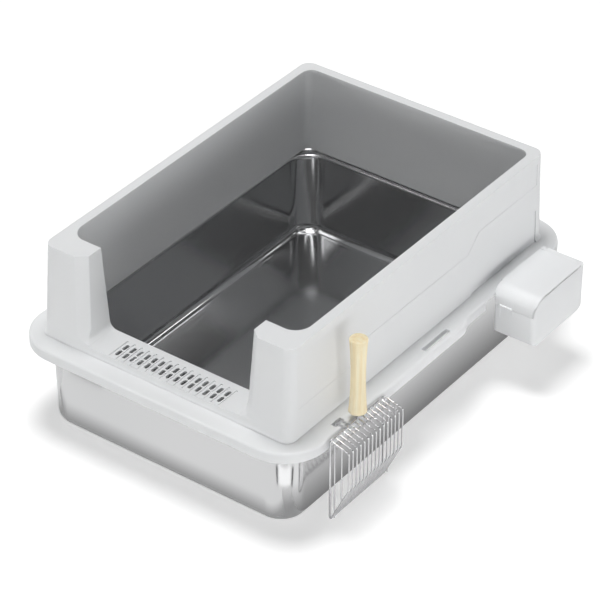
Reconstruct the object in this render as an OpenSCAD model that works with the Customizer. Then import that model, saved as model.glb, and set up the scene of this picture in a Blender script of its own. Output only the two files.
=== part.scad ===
// Steel litter pan with a plastic rim frame, a high wall with a low entry,
// a lidded waste bin that hangs on the rim, and a wire scoop with a wooden handle.
// Sizes are millimetres and +Z is up. The entry end faces -Y, the bin and the scoop
// hang on the +X side, and the origin is the middle of the pan's underside.

/* [Steel pan] */
// Width across the bottom of the pan
pan_w = 400; // [340:1:460]
// Length along the bottom of the pan
pan_l = 576; // [560:1:660]
// Height of the pan from the floor to the top of its rim
pan_h = 132; // [120:1:180]
// How far each pan wall leans out on its way up
pan_lean = 3.9; // [1:0.1:8]
// Radius of the upright corners at the bottom
pan_corner_r = 38; // [30:1:60]
// Radius where the walls turn into the floor
pan_floor_r = 20; // [6:1:26]
// Thickness of the steel sheet
pan_sheet = 1; // [0.8:0.1:1.5]
// Width of the rim turned outwards
pan_rim_w = 11; // [9:0.5:12]
// Depth of the hem that stiffens the rim's edge
pan_hem_h = 4; // [3:0.5:7]

/* [Rim frame] */
// Width of the frame's top beside the wall, on each long side
rim_side_w = 31.6; // [30:0.1:40]
// Width of the frame's top in front of the wall and behind it
rim_end_w = 32.8; // [30:0.1:44]
// Radius of the frame's outer corners
rim_corner_r = 63; // [50:1:80]
// Thickness of the frame's top
rim_top_t = 3; // [2:0.1:4]
// Depth of the frame's edge, from its top to the bottom of its skirt
rim_edge_h = 15.5; // [12:0.5:20]
// Thickness of the skirt
skirt_t = 3; // [2:0.1:4]
// Thickness of the ribs under the frame
rim_rib_t = 2.2; // [1.5:0.1:3]
// Height of the frame's underside above the pan's rim
rim_seat_h = 4.5; // [3.5:0.5:7]
// Distance between the wall's tongue and the rib that seats the frame
seat_rib_play = 1.5; // [0.5:0.1:1.8]
// How far the locating rib reaches below the pan's rim
locating_depth = 4; // [2:0.5:6]
// How far the frame and the wall sit behind the middle of the pan
frame_y = 6.75; // [0:0.25:9]

/* [Hook slots] */
// Length of a hook slot
slot_l = 57.3; // [40:0.1:70]
// Width of a hook slot
slot_w = 8.5; // [6:0.1:10]
// Width of the strip left between a slot and the frame's edge
slot_edge = 6.8; // [5:0.1:10]
// Place of the spare slot along the side
spare_slot_y = 7.65; // [-20:0.05:20]

/* [High wall] */
// Height of the wall above the frame
wall_h = 138; // [100:1:180]
// How far the sides and the back of the wall lean in on their way up
wall_lean = 3; // [1:0.1:6]
// How far the front of the wall leans back on its way up
front_lean = 9.5; // [3:0.5:16]
// How far the foot of the wall's front stands forward of the pan's length
wall_toe = 3.4; // [0:0.1:5]
// Thickness of the wall
wall_t = 4; // [3:0.1:4.5]
// Radius of the wall's upright corners
wall_corner_r = 15; // [10:1:24]
// Width of the lip turned inwards at the top
lip_w = 14.2; // [8:0.1:20]
// Thickness of the lip
lip_t = 3; // [2:0.1:4]
// Radius of the lip's inner corners beside the posts
lip_corner_r = 25; // [15:1:40]
// Thickness of the tongue that drops into the frame
tongue_t = 1.7; // [1.4:0.1:2]
// Depth of the tongue below the top of the frame
tongue_h = 6; // [4.5:0.5:6.5]
// Width of the entry between the two posts at the top
entry_w = 268; // [200:1:300]
// How much wider each post is at the step than at the top
jamb_lean = 5.5; // [0:0.5:12]
// Depth of the posts at the top
post_top_d = 36.5; // [30:0.5:44]
// Wall thickness of the hollow posts
post_t = 3; // [2:0.1:4]
// Width of the bevel between a post's front and the entry
post_bevel_w = 15; // [6:1:20]
// Depth of that bevel
post_bevel_d = 13; // [6:1:18]

/* [Entry step] */
// Height of the step above the frame
step_h = 10; // [6:0.5:20]
// Depth of the step, from the foot of the wall's front
step_d = 52.3; // [50:0.1:80]
// Thickness of the step
step_t = 3; // [2:0.1:4]
// Number of slot columns in the step
grille_columns = 15; // [5:1:17]
// Distance between slot columns
grille_pitch = 12; // [10:0.1:13]
// Length of one grille slot
grille_slot_l = 11; // [8:0.5:12]
// Width of one grille slot
grille_slot_w = 4.8; // [3:0.1:6]
// Distance between the two rows of slots
grille_row_gap = 14; // [13:0.1:17]
// Distance from the front of the step to the front row of slots
grille_front = 15; // [13:0.5:20]
// Length of the shallow grooves between the slots
groove_l = 38; // [20:1:40]
// Width of the shallow grooves
groove_w = 2; // [1:0.1:3]
// Depth of the shallow grooves
groove_depth = 0.8; // [0.3:0.1:1.2]

/* [Side relief] */
// Depth of the raised panel's edge on each side of the wall
relief_depth = 0.8; // [0.4:0.1:1.2]
// Distance from the wall's front and back edges to the raised panel
relief_margin = 21; // [16:1:30]
// Distance from the top of the wall to the raised panel
relief_top_gap = 12; // [6:1:20]
// Length of the first stretch of the panel's edge
relief_low_l = 105; // [60:1:130]
// Length of the first slope of the panel's edge
relief_rise_l = 35; // [15:1:50]
// Length of the middle stretch of the panel's edge
relief_mid_l = 239; // [180:1:250]
// Length of the second slope of the panel's edge
relief_step_l = 26; // [15:1:50]
// Height of the first stretch of the panel's edge above the frame
relief_low_z = 44; // [30:1:50]
// Height of the middle stretch of the panel's edge above the frame
relief_mid_z = 69; // [55:1:78]
// Height of the last stretch of the panel's edge above the frame
relief_high_z = 93; // [82:1:110]
// Depth of the recess in the wall beside the bin
bin_recess_depth = 1.6; // [0.8:0.1:2]
// Height of the recess beside the bin above the frame
bin_recess_z = 52; // [30:1:60]
// How far the foot of the recess reaches in front of the bin
bin_recess_lead = 18; // [8:1:30]
// How far the front edge of the recess slopes back on its way up
bin_recess_slope = 20; // [10:1:40]

/* [Waste bin] */
// Width of the bin, out from the frame
bin_w = 66.2; // [50:0.2:90]
// Length of the bin along the frame
bin_l = 126; // [110:1:150]
// Height of the bin with its lid shut
bin_h = 74; // [60:1:90]
// Place of the bin's middle along the frame
bin_y = 199.5; // [190:0.5:201]
// Height of the bin's top above the frame
bin_rise = 14.5; // [12:0.5:20]
// Wall thickness of the bin
bin_t = 2.2; // [1.6:0.1:3]
// Radius of the bin's upright corners
bin_corner_r = 8; // [4:0.5:14]
// Radius of the bin's bottom edge at the front
bin_foot_r = 8; // [4:0.5:14]
// Radius of the bin's bottom edge at the back
bin_heel_r = 18; // [6:0.5:24]
// Radius of the bin's top edge at the front, which the lid follows
bin_brow_r = 22; // [12:0.5:24]
// How far the frame steps in to make room for the bin
notch_d = 7.5; // [6:0.1:9]
// Length of the stepped-in stretch in front of the bin
notch_lead = 73; // [50:1:90]
// Length of the part of that stretch that still has a skirt
notch_skirt_l = 46; // [20:1:48]
// Radius of the step's inner corners
notch_r = 8; // [4:0.5:12]
// Gap between the bin and the frame's edge
bin_gap = 0.8; // [0.4:0.1:1.2]
// Thickness of the bin's hook
hook_t = 3; // [2:0.1:4]
// Depth that the bin's hook reaches below the top of the frame
hook_depth = 8.5; // [6:0.5:10]
// How much shorter the hook is than its slot
hook_end_play = 3; // [1:0.5:8]

/* [Bin lid] */
// Thickness of the lid
lid_t = 2.2; // [1.6:0.1:3]
// Gap between the lid and the bin
lid_gap = 0.4; // [0.3:0.05:0.8]
// How far the lid reaches down over the front of the bin
lid_drop = 26; // [24:0.5:32]
// Outer radius of the lid's hinge roll
roll_r = 6; // [4.5:0.1:8]
// Radius of the hinge pin
lid_pin_r = 1.5; // [1:0.1:2]
// Running clearance round the hinge pin
pin_play = 0.08; // [0.03:0.01:0.1]
// Skin left over the outer end of the hinge pin
pin_cover = 0.5; // [0.3:0.1:1]
// Width of the finger tab
tab_w = 19; // [12:1:30]
// How far the finger tab stands out
tab_reach = 3; // [2:0.5:5]
// Thickness of the finger tab
tab_t = 2; // [1.2:0.1:3]
// Distance from the bin's inner side to the middle of the tab
tab_x = 21; // [20:1:40]
// Height of the finger dimple below the tab
dimple_h = 10; // [6:1:20]
// Depth of the finger dimple
dimple_depth = 1.2; // [0.5:0.1:1.3]

/* [Scoop basket] */
// Width of the basket
basket_w = 120; // [80:1:140]
// Depth of the basket
basket_d = 32; // [20:1:50]
// Height of the basket's open side
basket_h = 129.5; // [90:0.5:130]
// Height of the basket's closed front
basket_front_h = 60; // [40:1:70]
// How far the basket's top slopes down towards its front
basket_top_drop = 7.5; // [2:0.5:10]
// Place of the scoop's middle along the frame
scoop_y = -190.5; // [-200:0.5:-150]
// Gap between the basket and the frame's edge
scoop_gap = 2.5; // [1:0.1:5]
// Diameter of the rim wire
rim_wire_d = 3; // [2:0.1:4]
// Diameter of the basket's other wires
tine_d = 2.4; // [1.6:0.1:3]
// Diameter of the uprights in the basket's two ends
upright_d = 2; // [1.4:0.1:2.2]
// Radius of the bends in the basket's wires
wire_bend_r = 4; // [3.2:0.1:4.2]
// Number of wires from side to side, with the two end ones
tine_count = 15; // [7:1:17]
// Distance from the open side to the first upright on each end
side_wire_x1 = 7; // [5:0.5:12]
// Distance from the open side to the second upright on each end
side_wire_x2 = 18; // [14:0.5:24]
// Distance from the open side to the cross wire under the top
brace_x = 10; // [6:0.5:20]

/* [Scoop hook and handle] */
// Distance from the scoop's middle to the nearer prong of its hook
hook_prong_y = 18; // [16:0.5:24]
// Distance between the hook's two prongs
hook_prong_gap = 8.5; // [6:0.5:12]
// Radius of the bends in the hook
hook_bend_r = 2.5; // [2:0.1:3]
// Height of the hook's wires above the top of the frame
hook_clear = 0.3; // [0.2:0.1:1]
// Depth that the prongs reach below the top of the frame
prong_depth = 7; // [6:0.5:9]
// Play at each end of the scoop's own slot
prong_play = 4; // [2:0.5:8]
// Length of the wooden handle
handle_l = 114; // [80:1:160]
// Radius of the handle at its two ends
handle_end_r = 12.2; // [9:0.1:16]
// Radius of the handle at its waist
handle_waist_r = 9.2; // [7:0.1:14]
// Height of the handle above the basket's rim wire
handle_rise = 12; // [6:0.5:30]
// Radius of the steel tang in the handle
tang_r = 2.5; // [1.5:0.1:4]
// Length of the tang inside the handle
tang_l = 60; // [30:1:70]

/* [Hidden] */
$fn = 64;
HULL_FN = 32;
WIRE_SIDES = 8;
EPS = 0.01;
seat_gap = 0.2;
fit_gap = 0.3;
cut_over = 1;
SIDES = [-1, 1];

pan_top_w = pan_w + 2 * pan_lean;
pan_top_l = pan_l + 2 * pan_lean;
pan_top_r = pan_corner_r + pan_lean;

rim_under_z = pan_h + rim_seat_h;
rim_z = rim_under_z + rim_top_t;
skirt_z = rim_z - rim_edge_h;
wall_w = pan_top_w;
wall_l = pan_top_l;
rim_w = wall_w + 2 * rim_side_w;
rim_l = wall_l + 2 * rim_end_w;
wall_shoulder = wall_t - tongue_t - fit_gap;
wall_top_z = rim_z + wall_h;
wall_front_y = frame_y - wall_l / 2 - wall_toe;
wall_back_y = frame_y + wall_l / 2;
wall_angle = atan(wall_lean / wall_h);
step_z = rim_z + step_h;
plug_inset = wall_t - tongue_t;
seat_rib_offset = max(frame_y - plug_inset, 0) + seat_rib_play;

rim_edge_x = rim_w / 2;
notch_x = rim_edge_x - notch_d;
notch_front_y = bin_y - bin_l / 2 - notch_lead;
notch_back_y = bin_y + bin_l / 2 + fit_gap;
notch_l = notch_back_y - notch_front_y;
spare_slot_x = rim_edge_x - slot_edge - slot_w / 2;
bin_slot_x = notch_x - slot_edge - slot_w / 2;

bin_x = notch_x + bin_gap;
bin_front_y = bin_y - bin_l / 2;
bin_back_y = bin_y + bin_l / 2;
bin_top_z = rim_z + bin_rise;
bin_bottom_z = bin_top_z - bin_h;
lid_edge_z = bin_top_z - lid_drop;
hinge_y = bin_back_y - roll_r;
hinge_z = bin_top_z - roll_r;
bin_hook_x = bin_slot_x + slot_w / 2 - fit_gap - hook_t;
bin_hook_l = slot_l - hook_end_play;
roll_from = bin_corner_r;
roll_to = bin_w - bin_corner_r;

weld = 0.4;
rim_wire_r = rim_wire_d / 2;
tine_r = tine_d / 2;
scoop_x = rim_edge_x + scoop_gap + rim_wire_r;
scoop_top_z = rim_z + hook_clear + weld - rim_wire_r;
scoop_tip_z = scoop_top_z - basket_h + rim_wire_d;
front_x = scoop_x + basket_d - rim_wire_r - tine_r;
front_top_z = scoop_top_z - basket_top_drop;
front_low_z = front_top_z - basket_front_h;
rim_half_w = basket_w / 2 - rim_wire_r;
tine_pitch = 2 * rim_half_w / (tine_count - 1);
tine_start_x = scoop_x + rim_wire_r + tine_r - weld;
prong_z = rim_z + hook_clear + tine_r;
prong_x = spare_slot_x;
prong_mid_y = scoop_y - hook_prong_y - hook_prong_gap / 2;
scoop_slot_l = hook_prong_gap + tine_d + 2 * prong_play;
handle_z = scoop_top_z + handle_rise;

// Points along an arc, from angle a0 to angle a1
function arc(cx, cy, r, a0, a1, steps = 8) =
  [for (i = [0:steps]) let (a = a0 + (a1 - a0) * i / steps) [cx + r * cos(a), cy + r * sin(a)]];

// Rectangle with round corners, centred on the origin
module rounded_rect(w, l, r) {
  square([w - 2 * r, l], center = true);
  square([w, l - 2 * r], center = true);
  for (x = SIDES, y = SIDES)
    translate([x * (w / 2 - r), y * (l / 2 - r)])
      circle(r);
}

// Flat ring between two rounded rectangles that share their middle
module rounded_band(w, l, r, band) {
  difference() {
    rounded_rect(w, l, r);
    rounded_rect(w - 2 * band, l - 2 * band, r - band);
  }
}

// Direction of stretch i of a path
function course(points, i) = let (step = points[i + 1] - points[i]) step / norm(step);

// Angle by which a path turns at point i
function turn(points, i) = acos(course(points, i - 1) * course(points, i));

// Length of the bend on each side of point i, which is none at the two ends
function bend_cut(points, i, bend) =
  i == 0 || i == len(points) - 1 ? 0 : bend * tan(turn(points, i) / 2);

// Points of a path with its corners rounded to the given radius
function bent_path(points, bend, steps = 4) = [
  for (i = [0:len(points) - 1])
    each i == 0 || i == len(points) - 1 ? [points[i]] :
      let (
        ahead = course(points, i - 1),
        rest = course(points, i) - ahead * (ahead * course(points, i)),
        inward = rest / norm(rest),
        middle = points[i] - ahead * bend_cut(points, i, bend) + inward * bend
      )
        [for (k = [0:steps])
          let (a = turn(points, i) * k / steps)
            middle - inward * bend * cos(a) + ahead * bend * sin(a)]
];

// Round wire at the distance y, along a bent path of x and z
module upright_wire(corners, y, d, bend = wire_bend_r) {
  path = bent_path(corners, bend);
  last = len(path) - 1;
  sides = WIRE_SIDES;
  rings = [
    for (i = [0:last], k = [0:sides - 1])
      let (
        a = 360 * (k + 0.5) / sides,
        chord = path[min(i + 1, last)] - path[max(i - 1, 0)],
        along = chord / norm(chord)
      )
        [path[i][0] - along[1] * sin(a) * d / 2, y + cos(a) * d / 2, path[i][1] + along[0] * sin(a) * d / 2]
  ];
  walls = [
    for (i = [0:last - 1], k = [0:sides - 1], half = [0, 1])
      let (n = (k + 1) % sides, here = i * sides, next = here + sides)
        half == 0 ? [here + k, next + n, here + n] : [here + k, next + k, next + n]
  ];
  caps = [
    [for (k = [0:sides - 1]) k],
    [for (k = [sides - 1:-1:0]) last * sides + k]
  ];
  polyhedron(points = rings, faces = concat(walls, caps));
}

// Round wire along a path with square turns, bent to the given radius at each of them
module wire(points, d, bend = wire_bend_r) {
  for (i = [0:len(points) - 2])
    let (
      along = course(points, i),
      from = points[i] + along * bend_cut(points, i, bend),
      reach = norm(points[i + 1] - along * bend_cut(points, i + 1, bend) - from)
    )
      translate(from)
        rotate([0, acos(along[2]), atan2(along[1], along[0])])
          cylinder(h = reach, d = d, $fn = 24);
  for (i = [1:1:len(points) - 2])
    let (
      ahead = course(points, i - 1),
      rest = course(points, i) - ahead * (ahead * course(points, i)),
      inward = rest / norm(rest),
      axis = cross(ahead, inward),
      middle = points[i] - ahead * bend_cut(points, i, bend) + inward * bend
    )
      multmatrix([
        [-inward[0], ahead[0], axis[0], middle[0]],
        [-inward[1], ahead[1], axis[1], middle[1]],
        [-inward[2], ahead[2], axis[2], middle[2]],
        [0, 0, 0, 1]
      ])
        rotate_extrude(angle = turn(points, i))
          translate([bend, 0])
            circle(d = d, $fn = 24);
}

// Solid block of the pan, drawn in by the given inset
module pan_block(inset, top_z) {
  foot = pan_corner_r - inset;
  round_r = pan_floor_r - inset;
  head = foot + pan_lean * top_z / pan_h;
  hull() {
    for (x = SIDES, y = SIDES)
      translate([x * (pan_w / 2 - pan_corner_r), y * (pan_l / 2 - pan_corner_r), 0]) {
        translate([0, 0, inset])
          rotate_extrude($fn = HULL_FN)
            polygon(concat([[0, 0]], arc(foot - round_r, round_r, round_r, -90, 0, 6), [[0, round_r]]));
        translate([0, 0, top_z - EPS])
          cylinder(r = head, h = EPS, $fn = HULL_FN);
      }
  }
}

module steel_pan() {
  color("silver")
    difference() {
      union() {
        pan_block(0, pan_h);
        translate([0, 0, pan_h - pan_sheet])
          linear_extrude(pan_sheet)
            rounded_rect(pan_top_w + 2 * pan_rim_w, pan_top_l + 2 * pan_rim_w, pan_top_r + pan_rim_w);
        translate([0, 0, pan_h - pan_hem_h])
          linear_extrude(pan_hem_h)
            rounded_band(pan_top_w + 2 * pan_rim_w, pan_top_l + 2 * pan_rim_w, pan_top_r + pan_rim_w, pan_sheet);
      }
      pan_block(pan_sheet, pan_h + cut_over);
    }
}

// The bin's recess in the frame's edge, grown by the given amount
module notch_shape(grow) {
  reach = notch_d + notch_r + 2 * cut_over;
  translate([notch_x - grow + (reach + grow) / 2, notch_front_y + notch_l / 2])
    rounded_rect(reach + grow, notch_l + 2 * grow, notch_r + grow / 2);
}

// Outer outline of the frame, drawn in by the given inset
module rim_outline(inset) {
  difference() {
    translate([0, frame_y])
      rounded_rect(rim_w - 2 * inset, rim_l - 2 * inset, rim_corner_r - inset);
    notch_shape(inset);
  }
}

module hook_slot(x, y, l) {
  translate([x, y])
    square([slot_w, l], center = true);
}

module hook_slots() {
  hook_slot(spare_slot_x, spare_slot_y, slot_l);
  hook_slot(bin_slot_x, bin_y, slot_l);
  hook_slot(prong_x, prong_mid_y, scoop_slot_l);
}

// Plan of the wall's foot, drawn in by the given inset
module wall_plan(inset) {
  translate([0, (wall_front_y + wall_back_y) / 2])
    rounded_rect(wall_w - 2 * inset, wall_back_y - wall_front_y - 2 * inset, wall_corner_r - inset);
}

// Rib under the frame that follows the pan's rim, its inner face out by the given offset
module rim_rib(offset_w, low_z) {
  grow = offset_w + rim_rib_t;
  translate([0, 0, low_z])
    linear_extrude(rim_under_z - low_z + EPS)
      difference() {
        rounded_band(pan_top_w + 2 * grow, pan_top_l + 2 * grow, pan_top_r + grow, rim_rib_t);
        wall_plan(wall_shoulder);
        hook_slots();
      }
}

module rim_frame() {
  skirt_gap_y = notch_front_y + notch_skirt_l;
  color("gainsboro")
    union() {
      translate([0, 0, rim_under_z])
        linear_extrude(rim_top_t)
          difference() {
            rim_outline(0);
            wall_plan(wall_shoulder);
            hook_slots();
          }
      translate([0, 0, skirt_z])
        linear_extrude(rim_under_z - skirt_z + EPS)
          difference() {
            rim_outline(0);
            rim_outline(skirt_t);
            translate([notch_x - skirt_t - cut_over, skirt_gap_y])
              square([skirt_t + cut_over + EPS, notch_back_y - skirt_gap_y]);
          }
      rim_rib(seat_rib_offset, pan_h + seat_gap);
      rim_rib(pan_rim_w + fit_gap, pan_h - locating_depth);
    }
}

// Share of the wall's height at z
function rise(z) = (z - rim_z) / wall_h;

// Solid block of the wall between two heights, drawn in by the given inset
module wall_block(inset, low_z, high_z) {
  hull() {
    for (z = [low_z, high_z - EPS])
      let (
        half_w = wall_w / 2 - inset - wall_lean * rise(z),
        front_y = wall_front_y + inset + front_lean * rise(z),
        back_y = wall_back_y - inset - wall_lean * rise(z)
      )
        translate([0, (front_y + back_y) / 2, z])
          linear_extrude(EPS)
            rounded_rect(2 * half_w, back_y - front_y, max(wall_corner_r - inset, 2), $fn = HULL_FN);
  }
}

// Distance from the middle of the entry to a post's inner face at z
function jamb_x(z) = entry_w / 2 - jamb_lean * (wall_top_z - z) / (wall_top_z - step_z);

// Place of a post's back face at z
function post_back_y(z) =
  let (head_y = wall_front_y + front_lean + post_top_d, foot_y = wall_front_y + step_d)
    foot_y + (head_y - foot_y) * (z - step_z) / (wall_top_z - step_z);

// The two entry posts as solid blocks without their bevels, drawn in by the given inset
module post_blocks(inset, low_z, high_z) {
  reach = step_d + wall_l;
  intersection() {
    translate([-wall_w, 0, 0])
      rotate([90, 0, 90])
        linear_extrude(2 * wall_w)
          polygon([
            [wall_front_y - cut_over, low_z],
            [post_back_y(low_z) - inset, low_z],
            [post_back_y(high_z) - inset, high_z],
            [wall_front_y - cut_over, high_z]
          ]);
    for (side = SIDES)
      mirror([side > 0 ? 0 : 1, 0, 0])
        translate([0, reach / 2, 0])
          rotate([90, 0, 0])
            linear_extrude(2 * reach)
              polygon([
                [jamb_x(low_z) + inset, low_z],
                [wall_w, low_z],
                [wall_w, high_z],
                [jamb_x(high_z) + inset, high_z]
              ]);
  }
}

// Prisms that bevel the posts' front corners beside the entry, moved in by the given inset
module post_bevels(inset) {
  long = norm([post_bevel_w, post_bevel_d]);
  for (side = SIDES)
    hull() {
      for (z = [step_z, wall_top_z + cut_over])
        let (
          x = jamb_x(z) + inset * post_bevel_d / long,
          y = wall_front_y + front_lean * rise(z) + inset * post_bevel_w / long
        )
          mirror([side > 0 ? 0 : 1, 0, 0])
            translate([x, y, z])
              linear_extrude(EPS)
                polygon([
                  [-post_bevel_w / 2, -post_bevel_d / 2],
                  [post_bevel_w * 1.5, -post_bevel_d / 2],
                  [-post_bevel_w / 2, post_bevel_d * 1.5]
                ]);
    }
}

// Opening between the posts, through the front of the wall
module entry_cut() {
  high_z = wall_top_z + cut_over;
  translate([0, wall_front_y + wall_t + front_lean + cut_over, 0])
    rotate([90, 0, 0])
      linear_extrude(wall_t + front_lean + 3 * cut_over)
        polygon([
          [-jamb_x(step_z), step_z],
          [jamb_x(step_z), step_z],
          [jamb_x(high_z), high_z],
          [-jamb_x(high_z), high_z]
        ]);
}

// Lip at the top of the wall, open towards the entry
module lip_block() {
  inset = wall_lean + lip_w;
  inner_w = wall_w - 2 * inset;
  front_y = post_back_y(wall_top_z);
  back_y = wall_back_y - inset;
  part_l = 0.7 * (back_y - front_y);
  translate([0, 0, wall_top_z - lip_t])
    linear_extrude(lip_t + 2 * cut_over)
      difference() {
        translate([-wall_w, front_y])
          square([2 * wall_w, wall_l]);
        translate([0, front_y + part_l / 2])
          rounded_rect(inner_w, part_l, lip_corner_r);
        translate([0, back_y - part_l / 2])
          rounded_rect(inner_w, part_l, wall_corner_r);
      }
}

module step_block() {
  translate([-wall_w, wall_front_y - cut_over, step_z - step_t])
    cube([2 * wall_w, step_d + cut_over, step_t]);
}

// Places of the grille's columns
function column_x(i) = (i - (grille_columns - 1) / 2) * grille_pitch;

module grille_cuts() {
  groove_y = wall_front_y + grille_front + grille_row_gap / 2;
  for (i = [0:grille_columns - 1], row = [0, 1])
    translate([column_x(i), wall_front_y + grille_front + row * grille_row_gap, step_z - step_t - cut_over])
      linear_extrude(step_t + 2 * cut_over)
        rounded_rect(grille_slot_w, grille_slot_l, grille_slot_w / 2 - EPS, $fn = 24);
  for (i = [0:grille_columns])
    translate([column_x(i - 0.5) - groove_w / 2, groove_y - groove_l / 2, step_z - groove_depth])
      cube([groove_w, groove_l, groove_depth + cut_over]);
}

// Prism that cuts the given depth into one side of the wall, from an outline of y and z
module side_cut(side, depth, outline) {
  mirror([side > 0 ? 0 : 1, 0, 0])
    translate([wall_w / 2 - depth, 0, rim_z])
      rotate([0, -wall_angle, 0])
        rotate([90, 0, 90])
          linear_extrude(depth + 2 * cut_over)
            polygon(outline);
}

module relief_cuts() {
  front = wall_front_y + relief_margin;
  back = wall_back_y - relief_margin;
  low_end = front + relief_low_l;
  mid_start = low_end + relief_rise_l;
  mid_end = mid_start + relief_mid_l;
  for (side = SIDES)
    side_cut(side, relief_depth, [
      [front, relief_low_z],
      [low_end, relief_low_z],
      [mid_start, relief_mid_z],
      [mid_end, relief_mid_z],
      [mid_end + relief_step_l, relief_high_z],
      [back, relief_high_z],
      [back, wall_h - relief_top_gap],
      [front, wall_h - relief_top_gap]
    ]);
  side_cut(1, bin_recess_depth, [
    [bin_front_y - bin_recess_lead, seat_gap],
    [bin_front_y - bin_recess_lead + bin_recess_slope, bin_recess_z],
    [back, bin_recess_z],
    [back, seat_gap]
  ]);
}

module high_wall() {
  tongue_z = rim_z - tongue_h;
  color("whitesmoke")
    difference() {
      union() {
        wall_block(0, rim_z + seat_gap, wall_top_z);
        translate([0, 0, tongue_z])
          linear_extrude(tongue_h + seat_gap + 2)
            wall_plan(plug_inset);
      }
      difference() {
        wall_block(wall_t, tongue_z - cut_over, wall_top_z + cut_over);
        post_blocks(0, tongue_z - 2 * cut_over, wall_top_z + 2 * cut_over);
        lip_block();
        step_block();
      }
      difference() {
        intersection() {
          wall_block(wall_t, tongue_z - cut_over, wall_top_z - lip_t);
          post_blocks(post_t, tongue_z - 2 * cut_over, wall_top_z);
        }
        post_bevels(post_t);
      }
      post_bevels(0);
      entry_cut();
      grille_cuts();
      relief_cuts();
    }
}

// Side view outline of the closed bin as y and z, drawn in by the given inset
module bin_profile(inset) {
  front = bin_front_y + inset;
  back = bin_back_y - inset;
  low = bin_bottom_z + inset;
  high = bin_top_z - inset;
  foot = max(bin_foot_r - inset, 1);
  heel = max(bin_heel_r - inset, 1);
  tail = max(roll_r - inset, 1);
  brow = max(bin_brow_r - inset, 1);
  polygon(concat(
    arc(front + foot, low + foot, foot, 180, 270),
    arc(back - heel, low + heel, heel, 270, 360),
    arc(back - tail, high - tail, tail, 0, 90),
    arc(front + brow, high - brow, brow, 90, 180)
  ));
}

// Side view outline of the bin without its lid, with a round cheek at the hinge
module bin_body_profile() {
  step_in = lid_t + lid_gap;
  ledge_z = lid_edge_z - lid_gap;
  cheek_end = 180 - asin((roll_r - step_in) / roll_r);
  polygon(concat(
    arc(bin_front_y + bin_foot_r, bin_bottom_z + bin_foot_r, bin_foot_r, 180, 270),
    arc(bin_back_y - bin_heel_r, bin_bottom_z + bin_heel_r, bin_heel_r, 270, 360),
    arc(hinge_y, hinge_z, roll_r, 0, cheek_end, 16),
    arc(bin_front_y + bin_brow_r, bin_top_z - bin_brow_r, bin_brow_r - step_in, 90, 180),
    [[bin_front_y + step_in, ledge_z], [bin_front_y, ledge_z]]
  ));
}

// Extrudes an outline of y and z along X, between two distances from the bin's inner side
module along_x(from, to) {
  translate([bin_x + from, 0, 0])
    rotate([90, 0, 90])
      linear_extrude(to - from)
        children();
}

// Upright block that rounds the bin's four corners, drawn in by the given inset
module bin_plan_block(inset) {
  translate([bin_x + bin_w / 2, bin_y, bin_bottom_z - cut_over])
    linear_extrude(bin_h + 2 * cut_over)
      rounded_rect(bin_w - 2 * inset, bin_l - 2 * inset, bin_corner_r - inset);
}

// Everything above a height, from in front of the bin back to the given distance
module zone_above(low_z, back_y) {
  translate([bin_front_y - cut_over, low_z])
    square([back_y - bin_front_y + cut_over, bin_h]);
}

module hinge_circle(r) {
  translate([hinge_y, hinge_z])
    circle(r);
}

module bin_body() {
  dimple_r = (dimple_h * dimple_h + dimple_depth * dimple_depth) / (2 * dimple_depth);
  color("white")
    difference() {
      union() {
        intersection() {
          along_x(0, bin_w)
            bin_body_profile();
          bin_plan_block(0);
        }
        bin_hook();
      }
      intersection() {
        along_x(0, bin_w) {
          bin_profile(bin_t);
          zone_above(hinge_z, hinge_y);
        }
        bin_plan_block(bin_t);
      }
      along_x(roll_from - lid_gap, roll_to + lid_gap)
        hinge_circle(roll_r + lid_gap);
      along_x(-cut_over, bin_w - pin_cover)
        hinge_circle(lid_pin_r);
      translate([bin_x + tab_x, bin_front_y + dimple_depth - dimple_r, lid_edge_z - dimple_h])
        rotate([0, 90, 0])
          cylinder(r = dimple_r, h = tab_w, center = true);
    }
}

// Hook that passes over the frame's edge and drops into its slot
module bin_hook() {
  lip_z = rim_z + seat_gap;
  translate([bin_hook_x, bin_y - bin_hook_l / 2, lip_z])
    cube([bin_x + bin_t / 2 - bin_hook_x, bin_hook_l, hook_t]);
  translate([bin_hook_x, bin_y - bin_hook_l / 2, rim_z - hook_depth])
    cube([hook_t, bin_hook_l, hook_depth + seat_gap + hook_t]);
}

module bin_lid() {
  plate_back_y = hinge_y - roll_r - lid_gap;
  color("white")
    difference() {
      union() {
        intersection() {
          along_x(0, bin_w)
            intersection() {
              difference() {
                bin_profile(0);
                bin_profile(lid_t);
              }
              zone_above(lid_edge_z, plate_back_y);
            }
          bin_plan_block(0);
        }
        along_x(roll_from, roll_to) {
          translate([plate_back_y - lid_gap, bin_top_z - lid_t])
            square([hinge_y - plate_back_y + lid_gap, lid_t]);
          hinge_circle(roll_r);
        }
        translate([bin_x + tab_x - tab_w / 2, bin_front_y - tab_reach, lid_edge_z])
          cube([tab_w, tab_reach + lid_t / 2, tab_t]);
      }
      along_x(-cut_over, bin_w + cut_over)
        hinge_circle(lid_pin_r + pin_play);
    }
}

module bin_lid_pin() {
  color("gray")
    translate([bin_x + pin_cover, hinge_y, hinge_z])
      rotate([0, 90, 0])
        cylinder(r = lid_pin_r, h = bin_w - 2 * pin_cover);
}

module scoop_handle() {
  waist = handle_end_r - handle_waist_r;
  edge = 1.5;
  color("burlywood")
    translate([scoop_x, scoop_y, handle_z])
      difference() {
        rotate_extrude()
          polygon(concat(
            [[0, 0], [handle_end_r - edge, 0]],
            [for (i = [0:12])
              let (t = i / 12)
                [handle_end_r - waist * pow(sin(180 * t), 0.8), edge + (handle_l - 2 * edge) * t]],
            [[handle_end_r - edge, handle_l], [0, handle_l]]
          ));
        translate([0, 0, -cut_over])
          cylinder(r = tang_r, h = tang_l + cut_over);
      }
}

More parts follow.
